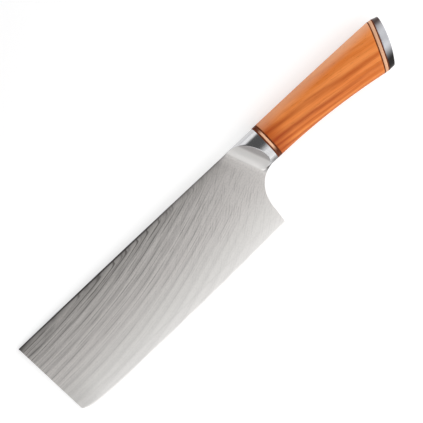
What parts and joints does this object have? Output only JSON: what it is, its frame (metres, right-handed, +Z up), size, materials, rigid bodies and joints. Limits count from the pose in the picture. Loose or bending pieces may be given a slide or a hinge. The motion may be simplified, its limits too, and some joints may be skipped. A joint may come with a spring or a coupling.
{
  "type": "vegetable knife",
  "caption": "Vegetable knife with a tall straight-edged laminated blade, a scooped steel bolster and a flared oval wooden handle between brass rings, with a slanted end cap.",
  "frame": {"origin": "bottom centre of the box round the knife as it lies on its right side", "axes": "+X from the tip of the blade to the butt, +Y from the cutting edge to the spine, +Z up, out of the left side of the knife"},
  "size_m": [0.3104, 0.0596, 0.0254],
  "materials": {
    "patterned_steel": "etched layered steel, satin, with a flowing line pattern",
    "core_steel": "bright satin along the cutting edge",
    "polished_steel": "polished stainless steel",
    "plain_steel": "plain bar, as rolled",
    "ring_brass": "polished, pinkish",
    "dark_fibre": "vulcanised fibre, dark brown",
    "handle_wood": "orange-brown wood, straight grain, satin oil",
    "epoxy": "set adhesive"
  },
  "bodies": {
    "root": {"blade_core": "core_steel", "left_cladding": "patterned_steel", "right_cladding": "patterned_steel", "bolster": "polished_steel", "front_liner_fore": "dark_fibre", "front_ring": "ring_brass", "front_liner_aft": "dark_fibre", "handle": "handle_wood", "tang_bedding": "epoxy", "rear_liner_fore": "dark_fibre", "rear_ring": "ring_brass", "rear_liner_aft": "dark_fibre", "end_cap": "polished_steel", "tang": "plain_steel", "cap_stud": "plain_steel"}
  },
  "joints": []
}
